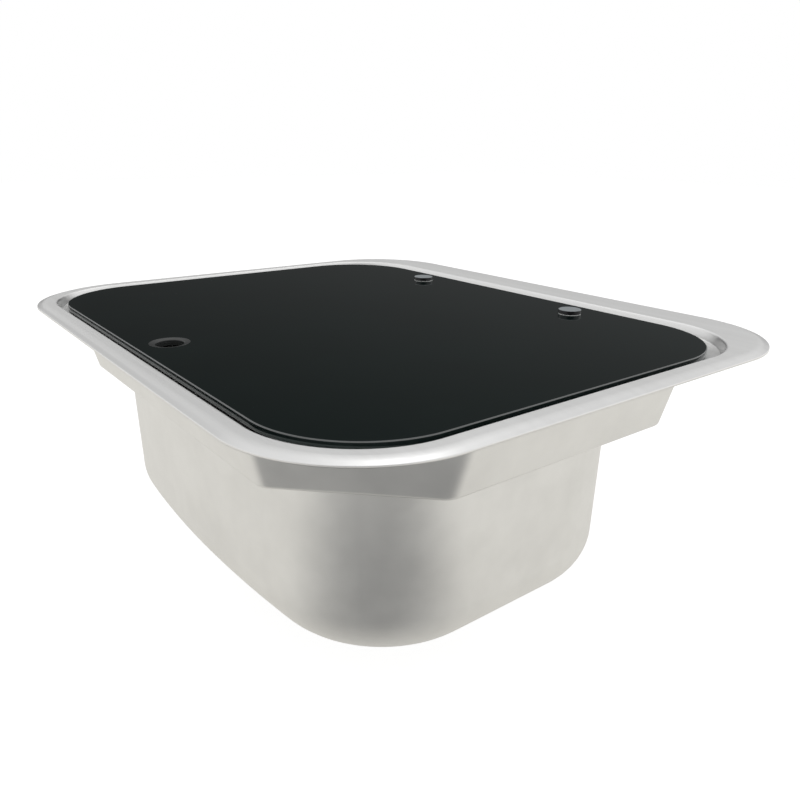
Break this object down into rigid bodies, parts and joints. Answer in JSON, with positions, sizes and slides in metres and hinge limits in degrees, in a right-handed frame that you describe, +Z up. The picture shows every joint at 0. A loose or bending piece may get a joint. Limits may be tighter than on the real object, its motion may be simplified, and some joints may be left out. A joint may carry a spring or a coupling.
{
  "type": "drop-in sink with glass lid",
  "caption": "Drop-in caravan sink: pressed steel rim, octagonal pan and round-cornered bowl with strainer waste, under a hinged black glass lid with a finger hole.",
  "frame": {"origin": "middle of the rim's outline, on the worktop's top surface (the underside of the rim seal)", "axes": "+Z up, +X to the right for a user at the front, -Y to the front, where the lid's finger hole is; the hinges are at +Y"},
  "size_m": [0.42, 0.354, 0.2054],
  "materials": {
    "pressed_steel": "satin brushed rim, fine matt drawn pan and bowl",
    "black_glass": "glossy, opaque black, ground edge",
    "black_cap": "satin black",
    "pale_nylon": "natural nylon",
    "buffer_rubber": "matt black",
    "seal_rubber": "matt black",
    "foam": "closed-cell foam",
    "hinge_steel": "satin",
    "zinc_steel": "zinc plated",
    "polished_steel": "polished",
    "waste_plastic": "moulded, light grey",
    "nut_plastic": "moulded, grey",
    "plug_rubber": "matt black",
    "knob_plastic": "gloss black"
  },
  "bodies": {
    "sink": {"sink_shell": "pressed_steel", "rim_seal": "foam", "lid_buffers": "buffer_rubber", "hinge_left_pin": "zinc_steel", "hinge_right_pin": "zinc_steel", "hinge_left_bracket": "hinge_steel", "hinge_right_bracket": "hinge_steel", "bracket_screws": "zinc_steel", "bracket_washers": "zinc_steel", "bracket_nuts": "zinc_steel", "flange_seal": "seal_rubber", "strainer": "polished_steel", "strainer_screw": "polished_steel", "waste_seal": "seal_rubber", "waste_body": "waste_plastic", "tail_washer": "seal_rubber", "hose_tail": "waste_plastic", "tail_nut": "nut_plastic"},
    "lid": {"glass_lid": "black_glass", "hinge_left_cap": "black_cap", "hinge_right_cap": "black_cap", "hinge_left_top_washer": "pale_nylon", "hinge_right_top_washer": "pale_nylon", "hinge_left_sleeve": "pale_nylon", "hinge_right_sleeve": "pale_nylon", "hinge_left_pad": "seal_rubber", "hinge_right_pad": "seal_rubber", "hinge_left_leaf": "hinge_steel", "hinge_right_leaf": "hinge_steel", "hinge_left_nut": "zinc_steel", "hinge_right_nut": "zinc_steel"},
    "plug": {"plug_stopper": "plug_rubber", "plug_knob": "knob_plastic"}
  },
  "joints": [
    {"name": "lid_hinge", "type": "hinge", "parent": "sink", "child": "lid", "pos_m": [0, 0.13495, -0.0042], "axis": [-1, 0, 0], "range_deg": [0, 92]},
    {"name": "plug_lift", "type": "slide", "parent": "sink", "child": "plug", "axis": [0, 0, 1], "range_m": [0, 0.06]}
  ]
}
